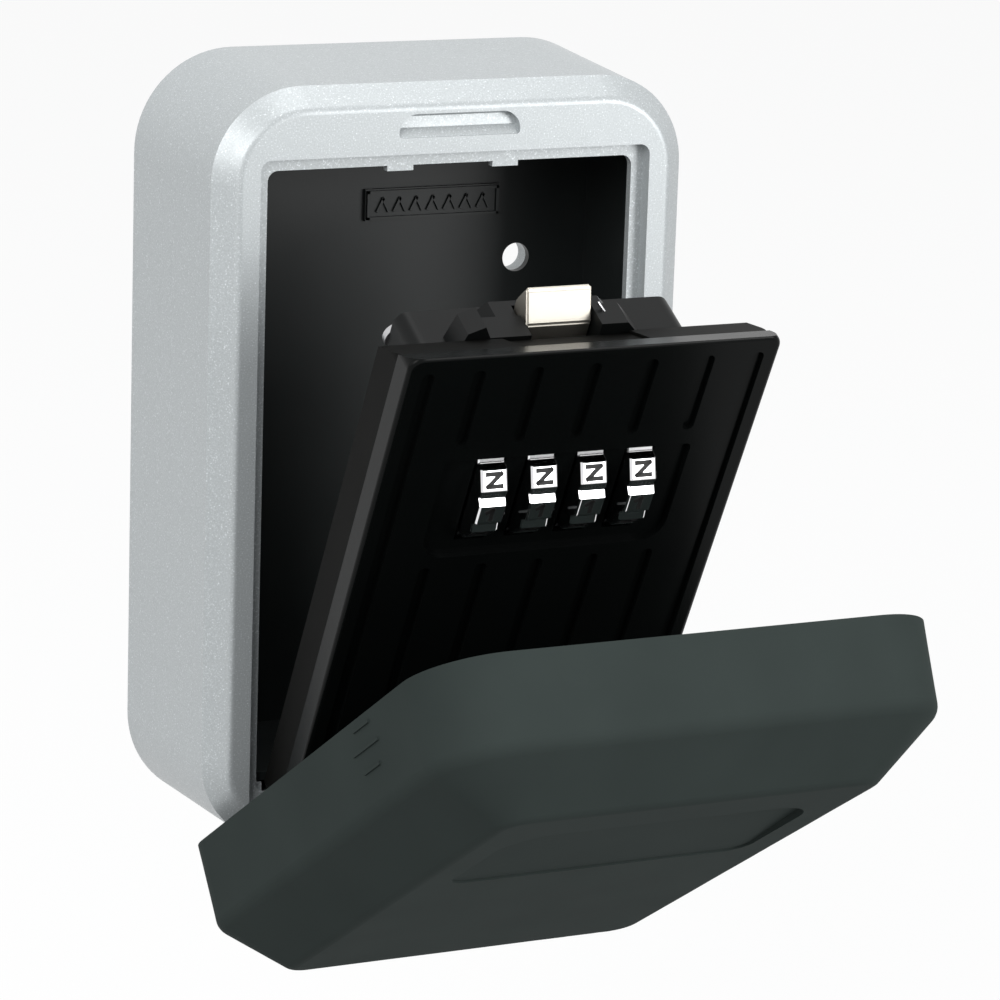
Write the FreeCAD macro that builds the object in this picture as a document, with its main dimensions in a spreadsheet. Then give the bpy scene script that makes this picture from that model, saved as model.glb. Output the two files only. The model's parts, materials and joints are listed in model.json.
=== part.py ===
"""A wall-mounted key lock box with a drop-down door, four number dials and a hinged weather cover.

Millimetres. X to the right, Z up, and the back of the casing lies on the wall plane Y = 0. The front looks
along -Y. In the names below, "forward" is the distance in front of the wall, so Y = -forward.
The door and the cover turn on one steel rod. Both are modelled shut and then swung open on that rod.
"""

import FreeCAD, Part
import Sketcher
import math
import os
import re

SIZES = {
    # casing
    "casing_half_width": 43.6,
    "casing_half_height": 65.6,
    "casing_corner": 17.0,
    "casing_depth": 35.0,
    "casing_draft": 2.9,
    "casing_chamfer": 3.4,
    "casing_edge_softness": 1.8,
    "casing_wall": 3.0,
    "back_wall": 3.0,
    "front_flange": 4.0,
    "opening_half_width": 34.75,
    "top_frame": 13.0,
    "bottom_frame": 8.6,
    "opening_corner": 1.8,
    "rabbet_depth": 2.5,
    "lip_width": 2.15,
    "lip_gap_half_width": 29.0,
    "thumb_recess_half": 10.8,
    "thumb_recess_corner": 3.2,
    "thumb_recess_depth": 1.8,
    "tab_inner": 7.1,
    "tab_outer": 11.7,
    "tab_drop": 0.9,
    "wall_hole_x": 25.0,
    "wall_hole_z": 28.0,
    "wall_hole_radius": 2.5,
    # liner
    "fit_gap": 0.2,
    "liner_wall": 1.4,
    "liner_low_corner": 6.0,
    "label_x": 8.7,
    "label_width": 25.0,
    "label_height": 5.5,
    "label_relief": 0.7,
    # hinge
    "hinge_forward": 27.5,
    "hinge_rise": 9.1,
    "rod_radius": 1.5,
    "rod_half_length": 37.0,
    "bearing_gap": 0.05,
    "boss_inner": 31.0,
    "boss_outer": 37.0,
    "boss_reach": 3.2,
    "lug_radius": 3.2,
    "free_gap": 0.3,
    # door
    "door_half_width": 31.8,
    "door_proud": 7.5,
    "door_plate": 4.5,
    "door_skin": 2.2,
    "door_rim": 2.2,
    "door_total": 11.2,
    "door_low": -0.5,
    "door_top_rise": 0.35,
    "door_top_drop": 6.5,
    "door_back_low": 5.0,
    "door_corner": 2.4,
    "door_lug_inner": 14.5,
    "door_lug_outer": 18.5,
    "groove_pitch": 9.8,
    "groove_outer": 28.2,
    "groove_width": 2.0,
    "groove_depth": 0.8,
    "groove_low": 3.0,
    "dial_recess_half": 21.3,
    "dial_recess_depth": 1.0,
    "open_door": 27.5,
    # dials
    "dial_pitch": 8.6,
    "dial_width": 4.6,
    "dial_radius": 10.0,
    "dial_deep": 5.9,
    "dial_drop": 29.9,
    "hub_radius": 3.4,
    "hub_width": 2.2,
    "hub_notch": 1.9,
    "shaft_radius": 1.5,
    "lock_well_half": 20.0,
    # lock
    "housing_half": 24.0,
    "guide_front_depth": 5.0,
    "guide_back_half": 9.5,
    "housing_depth": 11.6,
    "housing_wall": 1.3,
    "bolt_half": 5.6,
    "bolt_front": 14.0,
    "bolt_thick": 5.5,
    "bolt_softness": 1.2,
    "bolt_nose": 0.8,
    "bolt_back_run": 2.2,
    "bolt_back_drop": 4.4,
    "gate_thick": 1.5,
    "tooth_width": 1.6,
    "tooth_height": 3.8,
    "spring_radius": 1.2,
    "spring_wire": 0.3,
    "spring_coils": 5.0,
    "spring_x": 9.5,
    "lever_travel": 4.0,
    "strike_half": 14.0,
    "strike_thick": 2.2,
    "screw_radius": 1.25,
    "screw_head": 2.3,
    "screw_head_height": 1.2,
    # steps, margins and screw places
    "thumb_low_drop": 10.3,
    "thumb_high_drop": 6.4,
    "liner_rise": 12.6,
    "label_drop": 27.1,
    "door_back_step": 1.8,
    "groove_top_margin": 3.1,
    "groove_over_dial": 11.6,
    "recess_under_dial": 11.8,
    "recess_over_dial": 8.6,
    "well_under_dial": 15.4,
    "well_over_dial": 12.6,
    "housing_under_dial": 17.4,
    "housing_drop": 9.8,
    "guide_back_drop": 7.3,
    "bolt_drop": 1.2,
    "shoulder_drop": 7.5,
    "bolt_under_dial": 3.4,
    "lever_under_dial": 11.4,
    "strike_drop": 7.6,
    "cover_drop": 1.1,
    "pull_low_drop": 51.5,
    "pull_high_drop": 22.5,
    "strike_screw_drop": 2.6,
    "liner_screw_rise": 9.0,
    "door_screw_drop": 10.3,
    "housing_screw_low": 5.0,
    "housing_screw_high": 5.5,
    "door_screw_x": 26.5,
    "housing_screw_x": 22.2,
    "strike_screw_x": 10.4,
    "liner_screw_x": 30.0,
    # cover
    "cover_step": 0.4,
    "cover_shorter": 11.2,
    "cover_depth": 23.2,
    "cover_side": 14.3,
    "cover_draw_in": 0.8,
    "cover_face_inset": 11.5,
    "cover_face_inset_low": 8.3,
    "cover_corner": 12.5,
    "cover_shoulder_corner": 11.7,
    "cover_face_corner": 4.5,
    "cover_wall": 2.4,
    "cover_softness": 3.0,
    "cover_lug_inner": 24.0,
    "cover_lug_outer": 29.0,
    "pull_half": 26.0,
    "pull_corner": 8.0,
    "pull_shallow": 0.3,
    "pull_deep": 1.5,
    "open_cover": 58.0,
}

# Places that follow from the sizes, spelled out wherever an expression names them.
PLACES = {
    "opening_top": "casing_half_height - top_frame",
    "opening_bottom": "casing_half_height - bottom_frame",
    "thumb_recess_low": "casing_half_height - thumb_low_drop",
    "thumb_recess_high": "casing_half_height - thumb_high_drop",
    "liner_floor": "casing_half_height - liner_rise",
    "label_z": "casing_half_height - label_drop",
    "hinge_below": "casing_half_height - hinge_rise",
    "door_high": "inner_top + hinge_below + door_top_rise",
    "door_back_high": "door_high - door_back_step",
    "groove_high": "door_high - groove_top_margin",
    "groove_stop": "dial_up + groove_over_dial",
    "dial_recess_low": "dial_up - recess_under_dial",
    "dial_recess_high": "dial_up + recess_over_dial",
    "dial_up": "door_high - dial_drop",
    "lock_well_low": "dial_up - well_under_dial",
    "lock_well_high": "dial_up + well_over_dial",
    "housing_low": "dial_up - housing_under_dial",
    "housing_high": "door_high - housing_drop",
    "guide_back_high": "door_high - guide_back_drop",
    "bolt_high": "door_high - bolt_drop",
    "bolt_shoulder": "housing_high - shoulder_drop",
    "bolt_low": "dial_up - bolt_under_dial",
    "lever_up": "dial_up - lever_under_dial",
    "strike_top": "casing_half_height - strike_drop",
    "cover_half_width": "casing_half_width - cover_step",
    "cover_length": "2*casing_half_height - cover_shorter",
    "cover_low": "casing_half_height - cover_drop",
    "pull_low": "cover_length - pull_low_drop",
    "pull_high": "cover_length - pull_high_drop",
    "door_top_slope": "door_top_drop/door_total",
    "flange_back": "casing_depth - front_flange",
    "ledge": "casing_depth - rabbet_depth",
    "inner_half": "opening_half_width - lip_width",
    "inner_top": "opening_top - lip_width",
    "inner_bottom": "opening_bottom - lip_width",
    "cavity_half": "casing_half_width - casing_wall - 1",
    "cavity_height": "casing_half_height - casing_wall - 1.2",
    "cavity_corner": "casing_corner - casing_wall - 0.6",
    "liner_front": "flange_back - free_gap",
    "door_front_face": "casing_depth + door_proud",
    "cover_rim": "casing_depth + free_gap",
    "dial_low": "dial_up - hinge_below",
    "hinge_up": "-hinge_below",
    "gate_front": "dial_deep + dial_radius + 0.5",
    "lock_back": "door_total + housing_depth",
}

doc = FreeCAD.newDocument("KeyLockBox")
sheet = doc.addObject("Spreadsheet::Sheet", "Sizes")


def fill_sheet():
    """Write each driving size into its own cell, with its name as the alias."""
    for row, (name, value) in enumerate(SIZES.items(), start=1):
        sheet.set(f"A{row}", name)
        sheet.set(f"B{row}", str(value))
        sheet.setAlias(f"B{row}", name)
    doc.recompute()


def spell_out(expression):
    """The expression with each named place spelled out and each size read from the sheet."""

    def one(match):
        word = match.group(0)
        if word in PLACES:
            return "(" + spell_out(PLACES[word]) + ")"
        if word in SIZES:
            return "Sizes." + word
        return word

    return re.sub(r"[a-z][a-z_]*", one, str(expression))


def number(expression):
    """The present value of an expression, as a plain number."""
    value = sheet.evalExpression(spell_out(expression))
    return float(getattr(value, "Value", value))


def bind(thing, **properties):
    """Tie properties to expressions; 'at' ties the position and takes x, forward and up."""
    for name, expression in properties.items():
        if name == "at":
            x, forward, up = expression
            thing.setExpression(".Placement.Base.x", spell_out(x))
            thing.setExpression(".Placement.Base.y", spell_out(f"-({forward})"))
            thing.setExpression(".Placement.Base.z", spell_out(up))
        else:
            thing.setExpression(name, spell_out(expression))
    return thing


# ---- building blocks -----------------------------------------------------------------------------


def box(name, x, forward, up):
    """A box between two places along each direction, each pair given low then high."""
    block = doc.addObject("Part::Box", name)
    return bind(
        block,
        Length=f"({x[1]}) - ({x[0]})",
        Width=f"({forward[1]}) - ({forward[0]})",
        Height=f"({up[1]}) - ({up[0]})",
        at=(x[0], forward[1], up[0]),
    )


def across(name, radius, x, forward, up):
    """A cylinder lying along X."""
    cylinder = doc.addObject("Part::Cylinder", name)
    cylinder.Placement.Rotation = FreeCAD.Rotation(FreeCAD.Vector(0, 1, 0), 90)
    return bind(cylinder, Radius=radius, Height=f"({x[1]}) - ({x[0]})", at=(x[0], forward, up))


def outward(name, radius, x, forward, up):
    """A cylinder pointing away from the wall."""
    cylinder = doc.addObject("Part::Cylinder", name)
    cylinder.Placement.Rotation = FreeCAD.Rotation(FreeCAD.Vector(1, 0, 0), 90)
    return bind(
        cylinder, Radius=radius, Height=f"({forward[1]}) - ({forward[0]})", at=(x, forward[0], up)
    )


def join(name, pieces):
    """All the pieces as one solid."""
    if len(pieces) == 1:
        return pieces[0]
    fused = doc.addObject("Part::MultiFuse", name)
    fused.Shapes = pieces
    fused.Refine = True
    return fused


def cut(name, base, tools):
    """The base with every tool taken away."""
    result = doc.addObject("Part::Cut", name)
    result.Base = base
    result.Tool = join(name + "_tools", tools)
    result.Refine = True
    return result


def body_plane(body, role):
    """One of the body's own origin planes."""
    return next(plane for plane in body.Origin.OriginFeatures if plane.Role == role)


def attach(sketch, body, role, offset):
    """Lay the sketch on an origin plane, moved along that plane's normal by an expression."""
    sketch.AttachmentSupport = (body_plane(body, role), [""])
    sketch.MapMode = "FlatFace"
    sketch.setExpression(".AttachmentOffset.Base.z", spell_out(offset))


def rounded_sketch(body, name, forward, half_width, up, low_corner, high_corner):
    """A rectangle about X = 0 with rounded corners, drawn at a distance in front of the wall."""
    if body:
        sketch = body.newObject("Sketcher::SketchObject", name)
        attach(sketch, body, "XZ_Plane", forward)
    else:
        sketch = doc.addObject("Sketcher::SketchObject", name)
        sketch.Placement.Rotation = FreeCAD.Rotation(FreeCAD.Vector(1, 0, 0), 90)
        bind(sketch, at=("0", forward, "0"))
    half, low, high = number(half_width), number(up[0]), number(up[1])
    radii = [number(low_corner), number(low_corner), number(high_corner), number(high_corner)]
    corners = [(-half, low), (half, low), (half, high), (-half, high)]
    inward = [(1, 1), (-1, 1), (-1, -1), (1, -1)]
    for i in range(4):
        j = (i + 1) % 4
        start = corner_point(corners[i], inward[i], radii[i], along_x=i % 2 == 0)
        end = corner_point(corners[j], inward[j], radii[j], along_x=i % 2 == 0)
        sketch.addGeometry(Part.LineSegment(start, end), False)
    for i in range(4):
        centre = FreeCAD.Vector(
            corners[i][0] + inward[i][0] * radii[i], corners[i][1] + inward[i][1] * radii[i], 0
        )
        circle = Part.Circle(centre, FreeCAD.Vector(0, 0, 1), radii[i])
        first = math.radians(180 + 90 * i)
        sketch.addGeometry(Part.ArcOfCircle(circle, first, first + math.pi / 2), False)
    for i in range(4):
        arc, before, after = 4 + i, (i - 1) % 4, i
        sketch.addConstraint(Sketcher.Constraint("Tangent", arc, 1, before, 2))
        sketch.addConstraint(Sketcher.Constraint("Tangent", arc, 2, after, 1))
    for line in (0, 2):
        sketch.addConstraint(Sketcher.Constraint("Horizontal", line))
    for line in (1, 3):
        sketch.addConstraint(Sketcher.Constraint("Vertical", line))
    measure(sketch, "DistanceX", (3, 1, -1, 1), "left", half_width)
    measure(sketch, "DistanceX", (-1, 1, 1, 1), "right", half_width)
    measure_height(sketch, 0, "low", up[0])
    measure_height(sketch, 2, "high", up[1])
    for arc, label, radius in (
        (4, "a", low_corner),
        (5, "b", low_corner),
        (6, "c", high_corner),
        (7, "d", high_corner),
    ):
        index = sketch.addConstraint(Sketcher.Constraint("Radius", arc, number(radius)))
        tie(sketch, index, "radius_" + label, radius)
    return sketch


def corner_point(corner, inward, radius, along_x):
    """Where a side meets the round of its corner."""
    if along_x:
        return FreeCAD.Vector(corner[0] + inward[0] * radius, corner[1], 0)
    return FreeCAD.Vector(corner[0], corner[1] + inward[1] * radius, 0)


def tie(sketch, index, label, expression):
    """Name a constraint and tie its value to an expression."""
    sketch.renameConstraint(index, label)
    sketch.setExpression("Constraints." + label, spell_out(expression))


def measure(sketch, kind, points, label, expression):
    """A dimension between two points, tied to an expression."""
    index = sketch.addConstraint(Sketcher.Constraint(kind, *points, number(expression)))
    tie(sketch, index, label, expression)


def measure_height(sketch, line, label, expression):
    """The height of a level line above the sketch origin, whichever side of it the line lies on."""
    if number(expression) < 0:
        measure(sketch, "DistanceY", (line, 1, -1, 1), label, f"-({expression})")
    else:
        measure(sketch, "DistanceY", (-1, 1, line, 1), label, expression)


def slab(name, half_width, forward, up, low_corner, high_corner=None, draft=None):
    """A body padded away from the wall from a rounded rectangle; a draft narrows it towards the front."""
    high_corner = high_corner or low_corner
    body = doc.addObject("PartDesign::Body", name)
    sketch = rounded_sketch(body, name + "_outline", forward[0], half_width, up, low_corner, high_corner)
    return padded(body, sketch, f"({forward[1]}) - ({forward[0]})", taper=f"-({draft})" if draft else None)


def polygon_sketch(body, role, offset, places):
    """A closed outline through the given places on one of the body's origin planes."""
    sketch = body.newObject("Sketcher::SketchObject", body.Name + "_outline")
    attach(sketch, body, role, offset)
    corners = [FreeCAD.Vector(number(across), number(up), 0) for across, up in places]
    count = len(places)
    for i in range(count):
        sketch.addGeometry(Part.LineSegment(corners[i], corners[(i + 1) % count]), False)
    for i in range(count):
        sketch.addConstraint(Sketcher.Constraint("Coincident", i, 2, (i + 1) % count, 1))
    for i, (across, up) in enumerate(places):
        place_point(sketch, "DistanceX", i, f"across{i}", across)
        place_point(sketch, "DistanceY", i, f"up{i}", up)
    return sketch


def padded(body, sketch, length, taper=None, inward=False):
    """Pad an outline and make the pad the body's result."""
    pad = body.newObject("PartDesign::Pad", body.Name + "_pad")
    pad.Profile = sketch
    pad.Reversed = inward
    pad.setExpression("Length", spell_out(length))
    if taper:
        pad.setExpression("TaperAngle", spell_out(taper))
    body.Tip = pad
    doc.recompute()
    return body


def side_profile(name, points, x):
    """A flat shape drawn as forward and up places, padded along X."""
    body = doc.addObject("PartDesign::Body", name)
    places = [(f"-({forward})", up) for forward, up in points]
    sketch = polygon_sketch(body, "YZ_Plane", x[0], places)
    return padded(body, sketch, f"({x[1]}) - ({x[0]})")


def front_profile(name, points, forward):
    """A flat shape drawn as across and up places, padded away from the wall."""
    body = doc.addObject("PartDesign::Body", name)
    sketch = polygon_sketch(body, "XZ_Plane", forward[0], points)
    return padded(body, sketch, f"({forward[1]}) - ({forward[0]})")


def place_point(sketch, kind, line, label, expression):
    """Fix the start of a line at a signed distance from the sketch origin."""
    if number(expression) < 0:
        measure(sketch, kind, (line, 1, -1, 1), label, f"-({expression})")
    else:
        measure(sketch, kind, (-1, 1, line, 1), label, expression)


def edges_at(shape, forward, tolerance=0.01):
    """Names of the edges that lie wholly at one distance in front of the wall."""
    names = []
    for index, edge in enumerate(shape.Edges, start=1):
        limits = edge.BoundBox
        if abs(limits.YMin + forward) < tolerance and abs(limits.YMax + forward) < tolerance:
            names.append(f"Edge{index}")
    return names


def lofted(name, sections):
    """A solid ruled through rounded rectangles, each given as forward, half width, low, high and corner."""
    loft = doc.addObject("Part::Loft", name)
    loft.Sections = [
        rounded_sketch(None, f"{name}_section_{i}", forward, half, (low, high), corner, corner)
        for i, (forward, half, low, high, corner) in enumerate(sections)
    ]
    loft.Solid = True
    loft.Ruled = True
    doc.recompute()
    return loft


def soften(name, base, places, radius):
    """Round the edges of a solid that lie at the given distances in front of the wall."""
    rounded = doc.addObject("Part::Fillet", name)
    rounded.Base = base
    edges = [edge for forward in places for edge in edges_at(base.Shape, number(forward))]
    rounded.Edges = [(int(edge[4:]), number(radius), number(radius)) for edge in edges]
    doc.recompute()
    return rounded


def soften_upright(name, base, radius):
    """Round a box's four upright edges and its top edges."""
    top = base.Shape.BoundBox.ZMax
    rounded = doc.addObject("Part::Fillet", name)
    rounded.Base = base
    rounded.Edges = [
        (index, number(radius), number(radius))
        for index, edge in enumerate(base.Shape.Edges, start=1)
        if edge.BoundBox.ZLength > 0.01 or edge.BoundBox.ZMin > top - 0.01
    ]
    doc.recompute()
    return rounded


def dress(body, kind, forward, size):
    """Chamfer or round the edges of a body that lie at one distance in front of the wall."""
    before = body.Tip
    feature = body.newObject("PartDesign::" + kind, f"{body.Name}_{kind.lower()}_{len(body.Group)}")
    feature.Base = (before, edges_at(before.Shape, number(forward)))
    feature.setExpression("Size" if kind == "Chamfer" else "Radius", spell_out(size))
    body.Tip = feature
    doc.recompute()


# ---- the fixed pieces ----------------------------------------------------------------------------


def casing():
    """Die-cast box: drafted walls, a chamfered front with the door opening, and the hinge bosses inside."""
    shell = slab(
        "casing_shell",
        "casing_half_width",
        ("0", "casing_depth"),
        ("-casing_half_height", "casing_half_height"),
        "casing_corner",
        draft="casing_draft",
    )
    dress(shell, "Chamfer", "casing_depth", "casing_chamfer")
    dress(shell, "Fillet", "casing_depth", "casing_edge_softness")
    hollow = slab(
        "casing_hollow",
        "cavity_half",
        ("back_wall", "flange_back"),
        ("-(cavity_height)", "cavity_height"),
        "cavity_corner",
    )
    mouth = slab(
        "casing_mouth",
        "inner_half",
        ("flange_back - 1", "casing_depth + 1"),
        ("-(inner_bottom)", "inner_top"),
        "opening_corner",
    )
    rabbet = slab(
        "casing_rabbet",
        "opening_half_width",
        ("ledge", "casing_depth + 1"),
        ("-opening_bottom", "opening_top"),
        "opening_corner",
    )
    lug_way = box(
        "casing_lug_way",
        ("-lip_gap_half_width", "lip_gap_half_width"),
        ("flange_back - 1", "ledge + 1"),
        ("-opening_bottom", "-(inner_bottom) + 1"),
    )
    rough = cut("casing_rough", shell, [hollow, mouth, rabbet, lug_way, thumb_recess()])
    bosses = [hinge_boss("left", -1), hinge_boss("right", 1)]
    tabs = [latch_tab("left", -1), latch_tab("right", 1)]
    solid = join("casing_solid", [rough] + bosses + tabs)
    rod_hole = across(
        "casing_rod_hole",
        "rod_radius",
        ("-rod_half_length", "casing_half_width + 1"),
        "hinge_forward",
        "hinge_up",
    )
    slots = [cover_slot("left", -1), cover_slot("right", 1)]
    holes = wall_holes("casing_wall_hole", "back_wall")
    return cut("casing", solid, [rod_hole] + slots + holes + screw_holes("casing"))


def thumb_recess():
    """The scooped notch above the opening where a thumb gets behind the cover."""
    outline = slab(
        "casing_thumb_outline",
        "thumb_recess_half",
        ("casing_depth - thumb_recess_depth - 1", "casing_depth + 1"),
        ("thumb_recess_low", "thumb_recess_high"),
        "thumb_recess_corner/5",
        "thumb_recess_corner",
    )
    scoop = side_profile(
        "casing_thumb_scoop",
        [
            ("casing_depth - 0.2*thumb_recess_depth", "thumb_recess_low"),
            ("casing_depth - 0.85*thumb_recess_depth", "thumb_recess_low + 1.5"),
            ("casing_depth - thumb_recess_depth", "thumb_recess_high - 0.6"),
            ("casing_depth - 0.8*thumb_recess_depth", "thumb_recess_high"),
            ("casing_depth + 1", "thumb_recess_high"),
            ("casing_depth + 1", "thumb_recess_low"),
        ],
        ("-thumb_recess_half - 1", "thumb_recess_half + 1"),
    )
    recess = doc.addObject("Part::Common", "casing_thumb_recess")
    recess.Base = outline
    recess.Tool = scoop
    return recess


def hinge_boss(side, sign):
    """The block inside each lower front corner that holds an end of the hinge rod."""
    ends = ("boss_inner", "boss_outer") if sign > 0 else ("-boss_outer", "-boss_inner")
    return box(
        f"casing_boss_{side}",
        ends,
        ("hinge_forward - boss_reach - 0.8", "flange_back"),
        ("hinge_up - boss_reach", "hinge_up + boss_reach"),
    )


def latch_tab(side, sign):
    """A small stop hanging from the top lip beside the latch bolt."""
    ends = ("tab_inner", "tab_outer") if sign > 0 else ("-tab_outer", "-tab_inner")
    return box(
        f"casing_tab_{side}",
        ends,
        ("flange_back", "ledge"),
        ("inner_top - tab_drop", "inner_top + 1"),
    )


def cover_slot(side, sign):
    """The slot that lets a cover lug reach the hinge rod."""
    low, high = "cover_lug_inner - 0.4", "cover_lug_outer + 0.4"
    ends = (low, high) if sign > 0 else (f"-({high})", f"-({low})")
    return box(
        f"casing_slot_{side}",
        ends,
        ("hinge_forward - 7.5", "casing_depth + 1"),
        ("-casing_half_height - 1", "hinge_up + 4.2"),
    )


def wall_holes(name, depth):
    """The four holes for the screws into the wall."""
    return [
        outward(
            f"{name}_{i}",
            "wall_hole_radius",
            f"{sx}*wall_hole_x",
            ("-1", f"{depth} + 2"),
            f"{sz}*wall_hole_z",
        )
        for i, (sx, sz) in enumerate(((-1, -1), (1, -1), (1, 1), (-1, 1)), start=1)
    ]


LINER_SCREWS = (
    ("1", "-liner_screw_x", "liner_screw_rise - liner_floor"),
    ("2", "liner_screw_x", "liner_screw_rise - liner_floor"),
)
STRIKE_SCREWS = (
    ("1", "-strike_screw_x", "strike_top - strike_screw_drop"),
    ("2", "strike_screw_x", "strike_top - strike_screw_drop"),
)


def screw_holes(name):
    """Blind threaded holes: two in the back for the liner, two in the front flange for the strike plate."""
    liner = [
        outward(f"{name}_liner_tap_{n}", "screw_radius", x, ("back_wall - 2", "back_wall + 0.5"), up)
        for n, x, up in LINER_SCREWS
    ]
    strike = [
        outward(f"{name}_strike_tap_{n}", "screw_radius", x, ("flange_back - 0.5", "flange_back + 1.9"), up)
        for n, x, up in STRIKE_SCREWS
    ]
    return liner + strike


def liner():
    """Moulded black tray that lines the casing and hides the hinge, with a raised label pad at the back."""
    outer = slab(
        "liner_outer",
        "cavity_half - fit_gap",
        ("back_wall", "liner_front"),
        ("-liner_floor", "cavity_height - fit_gap"),
        "liner_low_corner",
        "cavity_corner - fit_gap",
    )
    inner = slab(
        "liner_inner",
        "cavity_half - fit_gap - liner_wall",
        ("back_wall + liner_wall", "liner_front + 1"),
        ("-liner_floor + liner_wall", "cavity_height - fit_gap - liner_wall"),
        "liner_low_corner - liner_wall",
        "cavity_corner - fit_gap - liner_wall",
    )
    tray = cut("liner_tray", outer, [inner])
    pad = box(
        "liner_label_pad",
        ("label_x - label_width/2", "label_x + label_width/2"),
        ("back_wall + liner_wall/2", "back_wall + liner_wall + label_relief"),
        ("label_z - label_height/2", "label_z + label_height/2"),
    )
    solid = join("liner_solid", [tray, pad])
    holes = wall_holes("liner_wall_hole", "back_wall + liner_wall")
    screws = [
        outward(
            f"liner_screw_hole_{n}",
            "screw_radius",
            x,
            ("back_wall - 1", "back_wall + liner_wall + 1"),
            up,
        )
        for n, x, up in LINER_SCREWS
    ]
    return cut("liner", solid, holes + screws)


def screw(name, x, forward, up, length, head_first):
    """A pan-head screw along the wall normal with a cross slot; the head is at the back when head_first."""
    if head_first:
        head = (f"({forward}) - screw_head_height", forward)
        shank = (forward, f"({forward}) + ({length})")
        slot = (f"({forward}) - screw_head_height - 0.1", f"({forward}) - screw_head_height + 0.6")
    else:
        head = (forward, f"({forward}) + screw_head_height")
        shank = (f"({forward}) - ({length})", forward)
        slot = (f"({forward}) + screw_head_height - 0.6", f"({forward}) + screw_head_height + 0.1")
    blank = join(
        name + "_blank",
        [
            outward(name + "_head", "screw_head", x, head, up),
            outward(name + "_shank", "screw_radius", x, shank, up),
        ],
    )
    arm, half = "screw_head*0.6", "0.25"
    bars = [
        box(name + "_slot_a", (f"{x} - {arm}", f"{x} + {arm}"), slot, (f"{up} - {half}", f"{up} + {half}")),
        box(name + "_slot_b", (f"{x} - {half}", f"{x} + {half}"), slot, (f"{up} - {arm}", f"{up} + {arm}")),
    ]
    return cut(name, blank, bars)


def liner_screws():
    """Two short screws that hold the liner to the casing's back."""
    seat = "back_wall + liner_wall"
    return join(
        "liner_screws",
        [
            screw(f"liner_screw_{n}", x, seat, up, "liner_wall + 1.8", head_first=False)
            for n, x, up in LINER_SCREWS
        ],
    )


def strike_plate():
    """Steel plate behind the top lip that the latch bolt catches on."""
    plate = box(
        "strike_blank",
        ("-strike_half", "strike_half"),
        ("flange_back - strike_thick", "flange_back"),
        ("inner_top", "strike_top"),
    )
    holes = [
        outward(
            f"strike_hole_{n}",
            "screw_radius",
            x,
            ("flange_back - strike_thick - 1", "flange_back + 1"),
            up,
        )
        for n, x, up in STRIKE_SCREWS
    ]
    return cut("strike_plate", plate, holes)


def strike_screws():
    """Two screws through the strike plate into the front flange."""
    seat = "flange_back - strike_thick"
    return join(
        "strike_screws",
        [
            screw(f"strike_screw_{n}", x, seat, up, "strike_thick + 1.7", head_first=True)
            for n, x, up in STRIKE_SCREWS
        ],
    )


def hinge_rod():
    """The steel rod that carries both the door and the cover."""
    return across(
        "hinge_rod",
        "rod_radius",
        ("-rod_half_length", "rod_half_length"),
        "hinge_forward",
        "hinge_up",
    )


# ---- the door, drawn shut: "deep" is behind its front face, "along" is the distance above the rod ----


def deep(distance):
    """A depth behind the door's front face as a place in front of the wall."""
    return f"door_front_face - ({distance})"


def along(distance):
    """A distance above the hinge rod as a height."""
    return f"hinge_up + ({distance})"


def door_box(name, x, depth, height):
    """A box given by its depth behind the door's front face and its height above the rod."""
    return box(name, x, (deep(depth[1]), deep(depth[0])), (along(height[0]), along(height[1])))


def door_front():
    """Outer door shell: a skin with a rim, upright grooves, and the recess and windows for the dials."""
    shell = slab(
        "door_front_shell",
        "door_half_width",
        (deep("door_plate"), deep("0")),
        (along("door_low"), along("door_high")),
        "door_corner",
    )
    dress(shell, "Fillet", deep("0"), "groove_depth")
    hollow = slab(
        "door_front_hollow",
        "door_half_width - door_rim",
        (deep("door_plate + 1"), deep("door_skin")),
        (along("door_low + door_rim"), along("door_high - door_plate*door_top_slope - door_rim")),
        "door_corner - 1",
    )
    recess = slab(
        "door_dial_recess",
        "dial_recess_half",
        (deep("dial_recess_depth"), deep("-1")),
        (along("dial_recess_low"), along("dial_recess_high")),
        "door_corner + 2",
        "door_corner - 1.5",
    )
    windows = [
        across(
            f"door_window_{n}",
            "dial_radius + free_gap",
            (f"{x} - dial_width/2 - free_gap", f"{x} + dial_width/2 + free_gap"),
            deep("dial_deep"),
            along("dial_up"),
        )
        for n, x in dial_places()
    ]
    slope = top_slope("door_front_slope", "door_half_width + 1", "0")
    return cut("door_front", shell, [hollow, recess, slope] + windows + grooves())


def top_slope(name, half_width, start, sink="0"):
    """What is cut away above the door's sloping top, from a depth back; sink lowers the slope."""
    back = "door_total + 1"
    return side_profile(
        name,
        [
            (deep(start), along(f"door_high - ({start})*door_top_slope - {sink}")),
            (deep(back), along(f"door_high - ({back})*door_top_slope - {sink}")),
            (deep(back), along("door_high + 2")),
            (deep(start), along("door_high + 2")),
        ],
        (f"-({half_width})", half_width),
    )


def grooves():
    """Seven upright grooves; the outer pair runs the whole door and the others stop above the dials."""
    cutters = []
    for n in range(-2, 3):
        cutters += groove(f"door_groove_{n + 3}", f"{n}*groove_pitch", "groove_stop", "groove_high")
        cutters += groove(
            f"door_low_groove_{n + 3}",
            f"{n}*groove_pitch",
            "groove_low",
            "dial_recess_low - 2",
        )
    for side in (-1, 1):
        cutters += groove(
            f"door_side_groove_{side + 2}",
            f"{side}*groove_outer",
            "groove_low",
            "groove_high",
        )
    return cutters


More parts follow.
